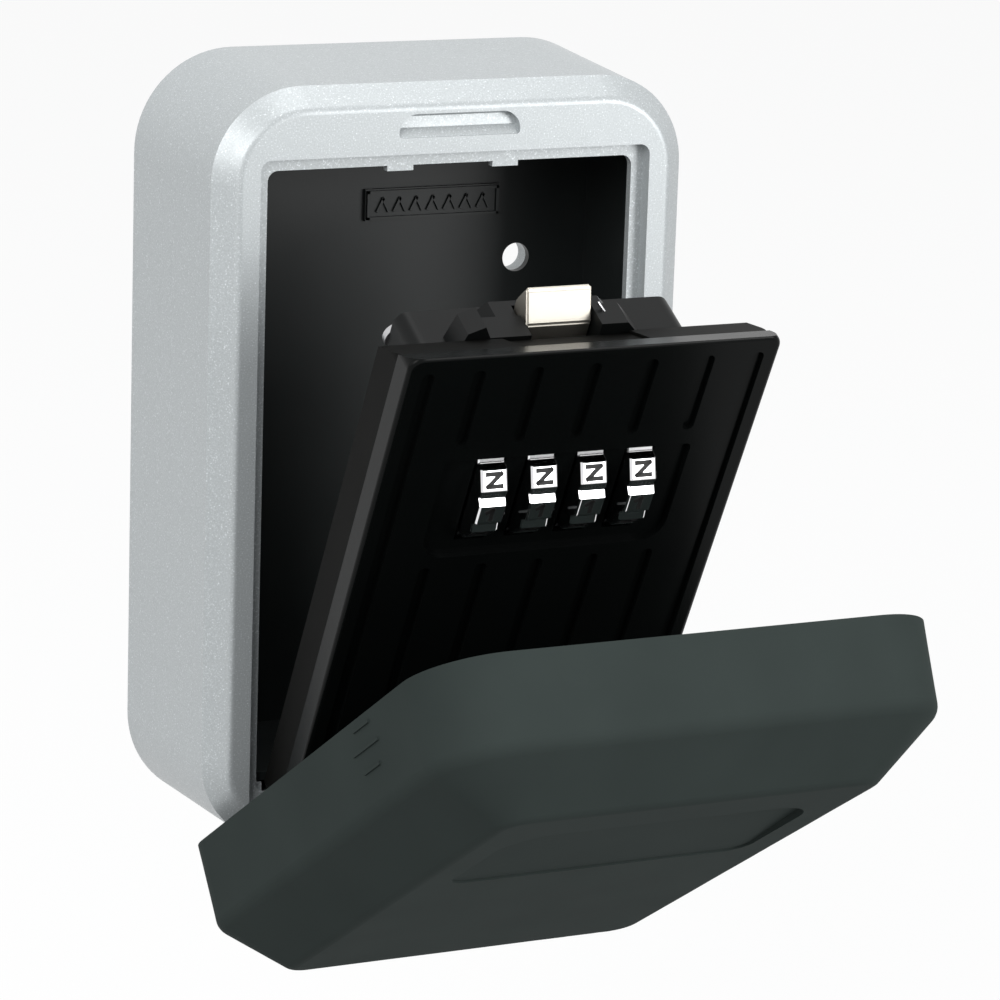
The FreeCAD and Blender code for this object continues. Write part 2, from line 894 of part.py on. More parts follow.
def groove(name, x, low, high):
    """One round-ended groove in the door's front."""
    half = "groove_width/2"
    bar = door_box(
        name, (f"{x} - {half}", f"{x} + {half}"), ("-1", "groove_depth"), (
            f"{low} + {half}",
            f"{high} - {half}",
        )
    )
    ends = [
        outward(f"{name}_end_{n}", half, x, (deep("groove_depth"), deep("-1")), along(end))
        for n, end in (("low", f"{low} + {half}"), ("high", f"{high} - {half}"))
    ]
    return [bar] + ends


def dial_places():
    """The four dials and where each stands across the door."""
    return [(n, f"{n - 2.5}*dial_pitch") for n in range(1, 5)]


def door_back():
    """Inner door shell that drops into the opening, with the lock well and the two hinge lugs."""
    shell = slab(
        "door_back_shell",
        "door_half_width",
        (deep("door_total"), deep("door_plate")),
        (along("door_back_low"), along("door_back_high")),
        "door_corner",
    )
    lugs = [door_lug("left", -1), door_lug("right", 1)]
    solid = join("door_back_solid", [shell] + lugs)
    hollow = slab(
        "door_back_hollow",
        "door_half_width - door_rim",
        (deep("door_total - door_skin"), deep("door_plate - 1")),
        (along("door_back_low + door_rim"), along("door_high - door_top_drop - door_rim + 1")),
        "door_corner - 1",
    )
    well = door_box(
        "door_lock_well",
        ("-lock_well_half", "lock_well_half"),
        ("door_plate - 1", "door_total + 1"),
        ("lock_well_low", "lock_well_high"),
    )
    holes = [
        across(f"door_lug_hole_{n}", "rod_radius + bearing_gap", ends, "hinge_forward", "hinge_up")
        for n, ends in enumerate(
            (
                ("-door_lug_outer - 1", "-door_lug_inner + 1"),
                ("door_lug_inner - 1", "door_lug_outer + 1"),
            ),
        )
    ]
    cradles = [shaft_cradle("left", -1), shaft_cradle("right", 1)]
    posts = screw_posts()
    hollowed = cut("door_back_hollowed", solid, [hollow, well])
    whole = join("door_back_whole", [hollowed] + cradles + posts)
    return cut("door_back", whole, holes + [shaft_way()] + post_holes() + top_cuts())


def shaft_cradle(side, sign):
    """A cheek beside the lock well that carries an end of the dial shaft."""
    ends = ("lock_well_half", "lock_well_half + 2.5") if sign > 0 else (
        "-lock_well_half - 2.5",
        "-lock_well_half",
    )
    return door_box(
        f"door_cradle_{side}", ends, (
            "door_plate",
            "door_total - door_skin",
        ), ("dial_up - 5", "dial_up + 5")
    )


def shaft_way():
    """The open channel that the dial shaft drops into."""
    ends = ("-lock_well_half - 2", "lock_well_half + 2")
    channel = door_box(
        "door_shaft_channel",
        ends,
        ("door_plate - 1", "dial_deep"),
        ("dial_up - shaft_radius", "dial_up + shaft_radius"),
    )
    return join(
        "door_shaft_way",
        [channel, across("door_shaft_seat", "shaft_radius", ends, deep("dial_deep"), along("dial_up"))],
    )


def door_lug(side, sign):
    """A hinge lug: a round barrel on the rod with an arm up to the door."""
    ends = ("door_lug_inner", "door_lug_outer") if sign > 0 else ("-door_lug_outer", "-door_lug_inner")
    foot = deep("door_plate + 0.9")
    heel = deep("door_total")
    arm = side_profile(
        f"door_lug_arm_{side}",
        [
            ("hinge_forward", "hinge_up"),
            (foot, along("door_back_low - 0.2")),
            (foot, along("door_back_low + 1.5")),
            (heel, along("door_back_low + 1.5")),
            (heel, along("lug_radius")),
            ("hinge_forward", along("lug_radius")),
        ],
        ends,
    )
    barrel = across(f"door_lug_barrel_{side}", "lug_radius", ends, "hinge_forward", "hinge_up")
    return join(f"door_lug_{side}", [arm, barrel])


DOOR_SCREWS = (
    ("1", "-door_screw_x", "50"),
    ("2", "door_screw_x", "50"),
    ("3", "-door_screw_x", "door_high - door_screw_drop"),
    ("4", "door_screw_x", "door_high - door_screw_drop"),
    ("5", "-door_screw_x", "14"),
    ("6", "door_screw_x", "14"),
)


def screw_posts():
    """Posts that the door screws go through."""
    return [
        outward(
            f"door_post_{n}",
            "screw_radius + 1.4",
            x,
            (deep("door_total - 1"), deep("door_plate")),
            along(up),
        )
        for n, x, up in DOOR_SCREWS
    ]


def post_holes():
    """Clearance for the door screws."""
    return [
        outward(
            f"door_post_hole_{n}",
            "screw_radius",
            x,
            (deep("door_total + 1"), deep("door_plate - 1")),
            along(up),
        )
        for n, x, up in DOOR_SCREWS
    ]


def top_cuts():
    """The inner shell's sloping top, and the shallow dip in it in front of the bolt."""
    return [
        top_slope("door_back_slope", "door_half_width + 1", "door_plate"),
        top_slope("door_dip", "strike_half - 3", "door_plate", "0.6"),
    ]


def door_screws():
    """Six screws from behind that hold the two door shells together."""
    return join(
        "door_screws",
        [
            screw(
                f"door_screw_{n}",
                x,
                deep("door_total"),
                along(up),
                "door_total - door_plate",
                head_first=True,
            )
            for n, x, up in DOOR_SCREWS
        ],
    )


# ---- the lock ------------------------------------------------------------------------------------


def lock_housing():
    """Black box on the back of the door round the dials and the bolt, open towards the dials."""
    outer = slab(
        "housing_outer",
        "housing_half",
        (deep("lock_back"), deep("door_total")),
        (along("housing_low"), along("housing_high")),
        "door_corner",
    )
    solid = join("housing_solid", [outer, bolt_guide_front(), bolt_guide_back()])
    hollow = slab(
        "housing_hollow",
        "housing_half - housing_wall - 2.4",
        (deep("lock_back - housing_wall"), deep("door_total - 1")),
        (along("housing_low + housing_wall"), along("housing_high - housing_wall")),
        "door_corner - housing_wall",
    )
    bolt_way = door_box(
        "housing_bolt_way",
        ("-bolt_half - free_gap", "bolt_half + free_gap"),
        ("door_total - 1", "bolt_front + bolt_thick + free_gap"),
        ("housing_high - housing_wall - 1", "bolt_high + 1"),
    )
    lever_way = door_box(
        "housing_lever_way",
        ("-2.5", "2.5 + lever_travel"),
        ("lock_back - housing_wall - 1", "lock_back + 1"),
        ("lever_up - 1.2", "lever_up + 1.2"),
    )
    holes = [
        outward(
            f"housing_hole_{n}",
            "screw_radius",
            x,
            (deep("lock_back + 1"), deep("door_total - 1")),
            along(up),
        )
        for n, x, up in HOUSING_SCREWS
    ]
    return cut("lock_housing", solid, [hollow, bolt_way, lever_way] + holes)


def bolt_guide_front():
    """The stepped block by the bolt, next to the door: a hump on the left, a sloped end on the right."""
    foot = "housing_high - 1"
    outline = [
        ("-18.6", foot),
        ("15.4", foot),
        ("14.4", "housing_high + 0.6"),
        ("10.5", "housing_high + 4.9"),
        ("bolt_half + free_gap - 1", "housing_high + 4.9"),
        ("bolt_half + free_gap - 1", "housing_high + 3.5"),
        ("-13.0", "housing_high + 3.5"),
        ("-14.2", "housing_high + 5.7"),
        ("-17.0", "housing_high + 4.5"),
    ]
    return front_profile(
        "housing_guide_front",
        [(x, along(up)) for x, up in outline],
        (deep("door_total + guide_front_depth"), deep("door_total")),
    )


def bolt_guide_back():
    """The plate behind the bolt."""
    foot, top = "housing_high - 1", "guide_back_high"
    outline = [("-13", foot), ("13", foot), ("guide_back_half", top), ("-guide_back_half", top)]
    return front_profile(
        "housing_guide_back",
        [(x, along(up)) for x, up in outline],
        (deep("bolt_front + bolt_thick + 1.5"), deep("door_total + guide_front_depth - 1")),
    )


HOUSING_SCREWS = (
    ("1", "-housing_screw_x", "housing_low + housing_screw_low"),
    ("2", "housing_screw_x", "housing_low + housing_screw_low"),
    ("3", "-housing_screw_x", "housing_high - housing_screw_high"),
    ("4", "housing_screw_x", "housing_high - housing_screw_high"),
)


def housing_screws():
    """Four screws that hold the lock housing to the inner door."""
    return join(
        "housing_screws",
        [
            screw(f"housing_screw_{n}", x, deep("lock_back"), along(up), "housing_depth", head_first=True)
            for n, x, up in HOUSING_SCREWS
        ],
    )


def dial_shaft():
    """Steel shaft that the four dials turn on."""
    return across(
        "dial_shaft", "shaft_radius", (
            "-lock_well_half - 2",
            "lock_well_half + 2",
        ), deep("dial_deep"), along("dial_up")
    )


def dial(n, x):
    """A ten-sided number dial, its facets slightly dished."""
    blank = doc.addObject("Part::Prism", f"dial_{n}_blank")
    blank.Polygon = 10
    blank.Placement.Rotation = FreeCAD.Rotation(FreeCAD.Vector(0, 1, 0), 90)
    bind(
        blank,
        Circumradius="dial_radius",
        Height="dial_width",
        at=(f"{x} - dial_width/2", deep("dial_deep"), along("dial_up")),
    )
    bore = across(
        f"dial_{n}_bore",
        "shaft_radius + bearing_gap",
        (f"{x} - dial_width", f"{x} + dial_width"),
        deep("dial_deep"),
        along("dial_up"),
    )
    return cut(f"dial_{n}", blank, [bore])


def code_hub(n, x):
    """The notched hub beside a dial that the gate reads."""
    start, end = f"{x} + dial_width/2", f"{x} + dial_width/2 + hub_width"
    disc = across(f"code_hub_{n}_disc", "hub_radius", (start, end), deep("dial_deep"), along("dial_up"))
    bore = across(
        f"code_hub_{n}_bore",
        "shaft_radius + bearing_gap",
        (f"{start} - 1", f"{end} + 1"),
        deep("dial_deep"),
        along("dial_up"),
    )
    notch = door_box(
        f"code_hub_{n}_notch",
        (f"{start} - 1", f"{end} + 1"),
        ("dial_deep + shaft_radius + 0.8", "dial_deep + hub_radius + 1"),
        ("dial_up - hub_notch/2", "dial_up + hub_notch/2"),
    )
    return cut(f"code_hub_{n}", disc, [bore, notch])


def detent_spring():
    """Spring-steel comb in the lock well with a leaf under each dial."""
    base = door_box(
        "detent_base",
        ("-lock_well_half", "lock_well_half"),
        ("door_plate", "door_total"),
        ("lock_well_low", "lock_well_low + 0.6"),
    )
    leaves = [
        side_profile(
            f"detent_leaf_{n}",
            [
                (deep("door_total - 0.6"), along("lock_well_low + 0.3")),
                (deep("door_total"), along("lock_well_low + 0.3")),
                (deep("dial_deep + 0.6"), along("dial_up - dial_radius - free_gap")),
                (deep("dial_deep"), along("dial_up - dial_radius - free_gap")),
            ],
            (f"{x} - 1.5", f"{x} + 1.5"),
        )
        for n, x in dial_places()
    ]
    return join("detent_spring", [base] + leaves)


def latch_bolt():
    """The sliding bolt: a thick head that catches behind the strike plate, a thin tail behind the dials."""
    block = door_box(
        "bolt_head",
        ("-bolt_half", "bolt_half"),
        ("bolt_front", "bolt_front + bolt_thick"),
        ("bolt_shoulder", "bolt_high"),
    )
    doc.recompute()
    soft = soften_upright("bolt_soft_head", block, "bolt_softness")
    head = cut("bolt_nose", soft, [bolt_bevel("front"), bolt_bevel("back")])
    tail = door_box(
        "bolt_tail",
        ("-bolt_half", "bolt_half"),
        ("gate_front + gate_thick", "bolt_front + bolt_thick"),
        ("bolt_low", "bolt_shoulder"),
    )
    arms = door_box(
        "bolt_arms",
        ("-spring_x - 2", "spring_x + 2"),
        ("bolt_front + 1", "bolt_front + bolt_thick"),
        ("bolt_shoulder - 1.5", "bolt_shoulder"),
    )
    return join("latch_bolt", [head, tail, arms])


def bolt_bevel(side):
    """What a bevel takes off the top of the bolt: a little in front, much more behind."""
    if side == "front":
        face, across_top, down = "bolt_front", "bolt_front + bolt_nose", "bolt_nose"
        beyond = "bolt_front - 1"
    else:
        face, down = "bolt_front + bolt_thick", "bolt_back_drop"
        across_top, beyond = "bolt_front + bolt_thick - bolt_back_run", "bolt_front + bolt_thick + 1"
    return side_profile(
        f"bolt_bevel_{side}",
        [
            (deep(across_top), along("bolt_high")),
            (deep(face), along(f"bolt_high - {down}")),
            (deep(beyond), along(f"bolt_high - {down}")),
            (deep(beyond), along("bolt_high + 1")),
            (deep(across_top), along("bolt_high + 1")),
        ],
        ("-bolt_half - 1", "bolt_half + 1"),
    )


def gate_bar():
    """Plate fixed to the bolt's tail with a tooth beside each dial."""
    first, last = "-1.5*dial_pitch", "1.5*dial_pitch + dial_width/2 + hub_width"
    plate = door_box(
        "gate_plate",
        (first, last),
        ("gate_front", "gate_front + gate_thick"),
        ("dial_up - 5", "bolt_shoulder - 2"),
    )
    teeth = [
        door_box(
            f"gate_tooth_{n}",
            (f"{x} + dial_width/2 + free_gap", f"{x} + dial_width/2 + free_gap + tooth_width"),
            ("dial_deep + hub_radius + free_gap", "gate_front + 0.5"),
            ("dial_up - tooth_height/2", "dial_up + tooth_height/2"),
        )
        for n, x in dial_places()
    ]
    return join("gate_bar", [plate] + teeth)


def latch_springs():
    """Two coil springs that push the bolt up; each stands between the housing floor and a bolt arm."""
    low = f"{along('housing_low + housing_wall')}"
    high = f"{along('bolt_shoulder - 1.5')}"
    coils = []
    for n, x in (("left", "-spring_x"), ("right", "spring_x")):
        centre = FreeCAD.Vector(
            number(x),
            -number(deep("gate_front + gate_thick + free_gap + spring_radius + spring_wire")),
            number(low),
        )
        coils.append(coil(centre, number(high) - number(low)))
    feature = doc.addObject("Part::Feature", "latch_springs")
    feature.Shape = Part.makeCompound(coils)
    return feature


def coil(centre, length):
    """One compression spring: round wire swept along a helix between two places."""
    wire = number("spring_wire")
    turns = number("spring_coils")
    pitch = (length - 2 * wire) / turns
    helix = Part.makeHelix(pitch, length - 2 * wire, number("spring_radius"))
    helix.translate(FreeCAD.Vector(0, 0, wire))
    start = helix.Edges[0].valueAt(helix.Edges[0].FirstParameter)
    heading = helix.Edges[0].tangentAt(helix.Edges[0].FirstParameter)
    ring = Part.Wire([Part.makeCircle(wire, start, heading)])
    spring = Part.Wire(helix.Edges).makePipeShell([ring], True, True)
    spring.translate(centre)
    return spring


def reset_lever():
    """The small slide behind the housing that frees the dials for a new number."""
    plate = door_box(
        "lever_plate",
        ("-4", "4"),
        ("lock_back", "lock_back + 1.2"),
        ("lever_up - 2.5", "lever_up + 2.5"),
    )
    ridge = door_box(
        "lever_ridge", ("-0.6", "0.6"), (
            "lock_back + 1",
            "lock_back + 2.2",
        ), ("lever_up - 2.5", "lever_up + 2.5")
    )
    stem = door_box(
        "lever_stem", ("-1.5", "1.5"), (
            "lock_back - housing_wall - 0.6",
            "lock_back + 0.5",
        ), ("lever_up - 1", "lever_up + 1")
    )
    return join("reset_lever", [plate, ridge, stem])


# ---- the cover -----------------------------------------------------------------------------------


def cover():
    """Deep weather cap over the whole door, with a broad chamfer, a pull recess and two hinge lugs."""
    face = "cover_rim + cover_depth"
    outer = lofted("cover_outer", cap_sections("cover_rim", "cover_side", "cover_depth", "0", "0"))
    soft = soften("cover_soft", outer, [face, "cover_rim + cover_side"], "cover_softness")
    inner = lofted(
        "cover_inner",
        cap_sections(
            "cover_rim - 0.5",
            "cover_side - 0.45*cover_wall",
            "cover_depth - cover_wall",
            "cover_wall",
            "0.4*cover_wall",
        ),
    )
    shell = cut("cover_shell", soft, [inner])
    lugs = [cover_lug("left", -1), cover_lug("right", 1)]
    solid = join("cover_solid", [shell] + lugs)
    holes = [
        across(f"cover_lug_hole_{n}", "rod_radius + bearing_gap", ends, "hinge_forward", "hinge_up")
        for n, ends in enumerate(
            (
                ("-cover_lug_outer - 1", "-cover_lug_inner + 1"),
                ("cover_lug_inner - 1", "cover_lug_outer + 1"),
            ),
        )
    ]
    return cut("cover", solid, holes + [pull_recess(face)])


def cap_sections(rim, side, depth, wall, face_wall):
    """The cap's outline at its rim, at the foot of the chamfer and at its face, all drawn in by the wall."""
    low, high = "-cover_low", "cover_length - cover_low"

    def section(forward, inset, inset_low, thickness, corner):
        return (
            forward,
            f"cover_half_width - {inset} - ({thickness})",
            f"{low} + {inset_low} + ({thickness})",
            f"{high} - {inset} - ({thickness})",
            f"{corner} - ({thickness})",
        )

    return [
        section(rim, "0", "0", wall, "cover_corner"),
        section(f"cover_rim + {side}", "cover_draw_in", "cover_draw_in", wall, "cover_shoulder_corner"),
        section(
            f"cover_rim + {depth}",
            "cover_face_inset",
            "cover_face_inset_low",
            face_wall,
            "cover_face_corner",
        ),
    ]


def cover_lug(side, sign):
    """A hinge lug from the rod to the cover's lower wall."""
    ends = ("cover_lug_inner", "cover_lug_outer") if sign > 0 else ("-cover_lug_outer", "-cover_lug_inner")
    arm = side_profile(
        f"cover_lug_arm_{side}",
        [
            ("hinge_forward", along("lug_radius")),
            ("hinge_forward", along("-lug_radius")),
            ("cover_rim", "-cover_low"),
            ("cover_rim + 3", "-cover_low + 0.5"),
            ("cover_rim + 3", along("lug_radius - 5")),
        ],
        ends,
    )
    barrel = across(f"cover_lug_barrel_{side}", "lug_radius", ends, "hinge_forward", "hinge_up")
    return join(f"cover_lug_{side}", [arm, barrel])


def pull_recess(face):
    """The finger pull in the outer face: round at the top, its floor running out towards the hinge."""
    low, high = "pull_low - cover_low", "pull_high - cover_low"
    outline = slab(
        "cover_pull_outline",
        "pull_half",
        (f"{face} - pull_deep - 1", f"{face} + 1"),
        (low, high),
        "pull_corner/2",
        "pull_corner",
    )
    floor = side_profile(
        "cover_pull_floor",
        [
            (f"{face} - pull_shallow", low),
            (f"{face} - pull_deep", high),
            (f"{face} + 2", high),
            (f"{face} + 2", low),
        ],
        ("-pull_half - 1", "pull_half + 1"),
    )
    recess = doc.addObject("Part::Common", "cover_pull")
    recess.Base = outline
    recess.Tool = floor
    return recess


# ---- assembly ------------------------------------------------------------------------------------


def swing(degrees):
    """The placement that turns a piece on the hinge rod, its top coming forward."""
    centre = FreeCAD.Vector(0, -number("hinge_forward"), number("hinge_up"))
    return FreeCAD.Placement(FreeCAD.Vector(), FreeCAD.Rotation(FreeCAD.Vector(1, 0, 0), degrees), centre)


def build():
    """Every piece by node name, grouped by what it moves with."""
    fixed = [casing(), liner(), liner_screws(), strike_plate(), strike_screws(), hinge_rod()]
    door = [door_front(), door_back(), door_screws(), lock_housing(), housing_screws(), dial_shaft()]
    door += [detent_spring(), latch_bolt(), gate_bar(), latch_springs(), reset_lever()]
    for n, x in dial_places():
        door += [dial(n, x), code_hub(n, x)]
    return fixed, door, [cover()]


def check(pieces):
    """Stop if any object failed or any piece is empty or broken."""
    for item in doc.Objects:
        if "Invalid" in item.State or "Error" in item.State:
            raise SystemExit(f"{item.Name} failed: {item.State}")
    for piece in pieces:
        if piece.Shape.isNull() or not piece.Shape.isValid():
            raise SystemExit(f"{piece.Label} has no valid shape")


def main():
    fill_sheet()
    fixed, door, cap = build()
    doc.recompute()
    for pieces, degrees in ((door, number("open_door")), (cap, number("open_cover"))):
        for piece in pieces:
            place(piece, swing(degrees))
    doc.recompute()
    check(fixed + door + cap)
    os.makedirs("parts", exist_ok=True)
    for piece in fixed + door + cap:
        piece.Shape.exportStep(f"parts/{piece.Label}.step")
        print(f"{piece.Label:16s} {len(piece.Shape.Solids)} solids {piece.Shape.Volume:10.1f} mm3")


def place(piece, placement):
    """Swing a piece from its shut place."""
    for axis in "xyz":
        piece.setExpression(f".Placement.Base.{axis}", None)
    piece.Placement = placement.multiply(piece.Placement)


main()
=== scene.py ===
"""Looks of the key lock box: materials, surface detail, studio and camera.

The door and the cover are stored open, turned on one rod. Their pieces are drawn here as if shut, where
they lie square to the axes, and then turned on the rod with the angles that the frame's joints give.
"""

import bpy
import bmesh
import json
import math
from mathutils import Matrix, Vector


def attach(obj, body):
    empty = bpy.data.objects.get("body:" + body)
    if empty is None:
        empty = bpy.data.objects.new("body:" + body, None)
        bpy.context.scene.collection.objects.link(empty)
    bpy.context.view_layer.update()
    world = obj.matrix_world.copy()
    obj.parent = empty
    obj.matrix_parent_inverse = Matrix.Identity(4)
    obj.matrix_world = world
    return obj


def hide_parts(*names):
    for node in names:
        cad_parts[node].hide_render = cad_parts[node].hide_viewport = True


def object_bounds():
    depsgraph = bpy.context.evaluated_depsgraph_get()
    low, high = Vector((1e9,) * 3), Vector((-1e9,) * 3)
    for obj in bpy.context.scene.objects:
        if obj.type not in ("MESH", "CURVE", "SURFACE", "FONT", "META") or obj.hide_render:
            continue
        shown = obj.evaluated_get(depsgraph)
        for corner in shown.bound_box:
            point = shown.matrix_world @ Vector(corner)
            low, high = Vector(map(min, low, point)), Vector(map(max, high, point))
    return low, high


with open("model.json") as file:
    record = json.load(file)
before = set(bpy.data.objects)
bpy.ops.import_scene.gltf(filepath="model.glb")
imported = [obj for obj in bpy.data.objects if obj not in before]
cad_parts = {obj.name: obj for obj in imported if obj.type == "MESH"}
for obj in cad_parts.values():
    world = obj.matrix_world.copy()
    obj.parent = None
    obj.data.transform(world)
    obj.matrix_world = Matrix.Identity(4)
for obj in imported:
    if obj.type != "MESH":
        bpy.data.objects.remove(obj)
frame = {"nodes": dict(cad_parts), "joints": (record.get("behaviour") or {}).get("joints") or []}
cad_size = [list(corner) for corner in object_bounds()]

MM = 0.001
DOOR_AHEAD = 15 * MM  # from the rod forward to the shut door's front face
NODES = frame["nodes"]
JOINTS = {joint["name"]: joint for joint in frame["joints"]}
ROD = Vector(JOINTS["door_hinge"]["pos_m"])
DOOR_ANGLE = -math.radians(JOINTS["door_hinge"]["range_deg"][0])
COVER_ANGLE = DOOR_ANGLE - math.radians(JOINTS["cover_hinge"]["range_deg"][0])


def turned(angle):
    """The move that carries a piece from its shut place to its stored place."""
    return Matrix.Translation(ROD) @ Matrix.Rotation(angle, 4, "X") @ Matrix.Translation(-ROD)


DOOR_TURN = turned(DOOR_ANGLE)
COVER_TURN = turned(COVER_ANGLE)


# ---- materials -----------------------------------------------------------------------------------


class Shader:
    """A node material with short names for what the surfaces here need."""

    def __init__(self, name, colour, roughness, metallic=0.0, specular=0.5):
        self.material = bpy.data.materials.new(name)
        self.material.use_nodes = True
        self.nodes = self.material.node_tree.nodes
        self.links = self.material.node_tree.links
        self.surface = self.nodes["Principled BSDF"]
        self.surface.inputs["Base Color"].default_value = (*colour, 1)
        self.surface.inputs["Roughness"].default_value = roughness
        self.surface.inputs["Metallic"].default_value = metallic
        self.surface.inputs["Specular IOR Level"].default_value = specular
        self.place = self.nodes.new("ShaderNodeTexCoord").outputs["Object"]
        self.bump = None

    def noise(self, scale, detail=2.0, stretch=(1, 1, 1)):
        """A noise value; the scale is its number of waves a metre."""
        mapping = self.nodes.new("ShaderNodeMapping")
        mapping.inputs["Scale"].default_value = stretch
        self.links.new(self.place, mapping.inputs["Vector"])
        texture = self.nodes.new("ShaderNodeTexNoise")
        texture.inputs["Scale"].default_value = scale
        texture.inputs["Detail"].default_value = detail
        self.links.new(mapping.outputs[0], texture.inputs["Vector"])
        return texture.outputs["Fac"]

    def ramp(self, value, stops):
        """Colours or greys read along a value."""
        ramp = self.nodes.new("ShaderNodeValToRGB")
        elements = ramp.color_ramp.elements
        while len(elements) < len(stops):
            elements.new(0.5)
        for element, (position, colour) in zip(elements, stops):
            element.position = position
            element.color = (*colour, 1) if isinstance(colour, tuple) else (colour, colour, colour, 1)
        self.links.new(value, ramp.inputs["Fac"])
        return ramp.outputs["Color"]

    def colour(self, value, stops):
        """Base colour read along a value."""
        self.links.new(self.ramp(value, stops), self.surface.inputs["Base Color"])
        return self

    def rough(self, value, low, high):
        """Roughness that varies along a value."""
        spread = self.nodes.new("ShaderNodeMapRange")
        spread.inputs["To Min"].default_value = low
        spread.inputs["To Max"].default_value = high
        self.links.new(value, spread.inputs["Value"])
        self.links.new(spread.outputs["Result"], self.surface.inputs["Roughness"])
        return self

    def dent(self, value, height, strength=1.0):
        """Bump of the given height in metres, laid over any bump that is there."""
        bump = self.nodes.new("ShaderNodeBump")
        bump.inputs["Distance"].default_value = height
        bump.inputs["Strength"].default_value = strength
        self.links.new(value, bump.inputs["Height"])
        if self.bump:
            self.links.new(self.bump, bump.inputs["Normal"])
        self.bump = bump.outputs["Normal"]
        self.links.new(self.bump, self.surface.inputs["Normal"])
        return self


def shades(colour, spread):
    """A colour made a little darker and lighter."""
    darker = tuple(c * (1 - spread) for c in colour)
    lighter = tuple(min(1, c * (1 + spread)) for c in colour)
    return [(0.3, darker), (0.7, lighter)]


def silver_paint():
    """Satin silver paint: pale flakes under a clear coat, with a faint orange peel."""
    colour = (0.50, 0.53, 0.54)
    shader = Shader("silver_paint", colour, 0.38, metallic=0.30, specular=0.4)
    flakes = shader.noise(3800, 1.5)
    dark, bright = tuple(c * 0.84 for c in colour), (0.80, 0.83, 0.85)
    shader.colour(flakes, [(0.25, dark), (0.62, colour), (0.78, bright)])
    shader.rough(shader.noise(900, 2.0), 0.30, 0.48)
    shader.dent(flakes, 0.00002, 0.30)
    shader.dent(shader.noise(420, 2.0), 0.00003, 0.15)
    return shader.material


def moulded(name, colour, roughness, grain, height, specular=0.5):
    """Moulded plastic with a fine grain and slightly uneven gloss."""
    shader = Shader(name, colour, roughness, specular=specular)
    shader.colour(shader.noise(70, 2.0), shades(colour, 0.05))
    shader.rough(shader.noise(140, 2.0), roughness * 0.94, roughness * 1.06)
    shader.dent(shader.noise(grain, 3.0), height, 0.35)
    return shader.material


def plated(name, colour, roughness, brush=None):
    """Plated or plain steel; brush gives the direction of fine lines."""
    shader = Shader(name, colour, roughness, metallic=1.0)
    lines = shader.noise(1800, 2.0, brush or (1, 1, 1))
    shader.rough(lines, roughness * 0.8, roughness * 1.3)
    shader.dent(lines, 0.000004, 0.2)
    return shader.material


MATERIALS = {
    "silver": silver_paint(),
    "liner": moulded("liner_plastic", (0.014, 0.0165, 0.0165), 0.40, 1500, 0.00002, 0.30),
    "door": moulded("door_gloss", (0.0028, 0.0034, 0.0033), 0.26, 700, 0.000004, 0.08),
    "door_edge": moulded("door_edge_plastic", (0.0035, 0.0035, 0.0032), 0.55, 900, 0.00001, 0.04),
    "lock": moulded("lock_plastic", (0.004, 0.0045, 0.0045), 0.36, 900, 0.00001, 0.14),
    "cover": moulded("cover_soft_touch", (0.037, 0.0465, 0.0440), 0.70, 3000, 0.00001, 0.02),
    "nickel": plated("bolt_nickel", (0.50, 0.475, 0.42), 0.38, (1, 14, 14)),
    "chrome": plated("dial_chrome", (0.84, 0.84, 0.85), 0.10),
    "enamel": moulded("digit_enamel", (0.010, 0.010, 0.010), 0.45, 1500, 0.00001, 0.3),
    "index": moulded("index_grey", (0.16, 0.165, 0.165), 0.4, 1500, 0.00001),
    "steel": plated("plain_steel", (0.55, 0.55, 0.56), 0.3, (1, 10, 10)),
    "spring": plated("spring_steel", (0.12, 0.12, 0.13), 0.35),
}

NODE_MATERIALS = {
    "casing": "silver",
    "liner": "liner",
    "door_front": "door",
    "door_back": "door_edge",
    "lock_housing": "lock",
    "reset_lever": "lock",
    "latch_bolt": "nickel",
    "gate_bar": "steel",
    "strike_plate": "spring",
    "detent_spring": "spring",
    "latch_springs": "spring",
    "cover": "cover",
}


def dress_nodes():
    """Give each CAD node its material."""
    for name, node in NODES.items():
        plain = "chrome" if name.startswith("dial_") and name != "dial_shaft" else "steel"
        node.data.materials.clear()
        node.data.materials.append(MATERIALS[NODE_MATERIALS.get(name, plain)])


# ---- pieces --------------------------------------------------------------------------------------


def deep(depth):
    """Where a depth behind the shut door's front face lies, in metres."""
    return ROD.y - DOOR_AHEAD + depth * MM


def along(height):
    """Where a height above the rod lies on the shut door, in metres."""
    return ROD.z + height * MM


def piece(name, mesh, materials, body, turn):
    """A finished piece, drawn shut, turned to its stored place and set to ride on its body."""
    mesh.transform(turn)
    for key in materials:
        mesh.materials.append(MATERIALS[key])
    item = bpy.data.objects.new(name, mesh)
    bpy.context.scene.collection.objects.link(item)
    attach(item, body)
    return item


def mesh_from(build):
    """A mesh from a bmesh with its normals pointing out."""
    mesh = bpy.data.meshes.new("piece")
    bmesh.ops.recalc_face_normals(build, faces=build.faces)
    build.to_mesh(mesh)
    build.free()
    return mesh


def bar(build, start, end, half_width, normal, below, above, material=0):
    """A square-ended bar from start to end, lying on a surface with the given normal."""
    run = (end - start).normalized()
    side = normal.cross(run)
    corners = []
    for height in (-below, above):
        shrink = half_width if height < 0 else half_width * 0.8
        for place, sign in ((start, -1), (end, 1)):
            for flank in (-1, 1):
                corners.append(
                    build.verts.new(place + run * sign * shrink + side * flank * shrink + normal * height)
                )
    for loop in ((0, 1, 3, 2), (4, 6, 7, 5), (0, 2, 6, 4), (1, 5, 7, 3), (0, 4, 5, 1), (2, 3, 7, 6)):
        build.faces.new([corners[i] for i in loop]).material_index = material


